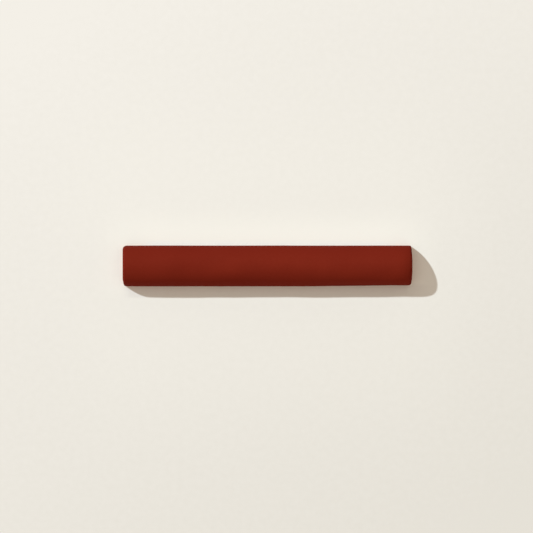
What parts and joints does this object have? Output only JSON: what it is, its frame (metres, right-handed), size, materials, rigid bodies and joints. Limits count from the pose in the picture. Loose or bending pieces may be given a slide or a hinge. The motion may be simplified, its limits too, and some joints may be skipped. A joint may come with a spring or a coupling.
{
  "type": "trim tile",
  "caption": "Half-round glazed ceramic trim tile with a crowned face, one leaning and one dipped rolled end, low upright sides and a flat keyed back.",
  "frame": {"origin": "centre of the flat back, which lies on the floor", "axes": "+X along the tile's length, +Y across its width, +Z out of the back through the crest of the crown"},
  "size_m": [0.1499, 0.0212, 0.012],
  "materials": {
    "glazed_clay": "oxblood red satin glaze over fired red clay"
  },
  "bodies": {
    "root": {"trim_tile": "glazed_clay"}
  },
  "joints": []
}
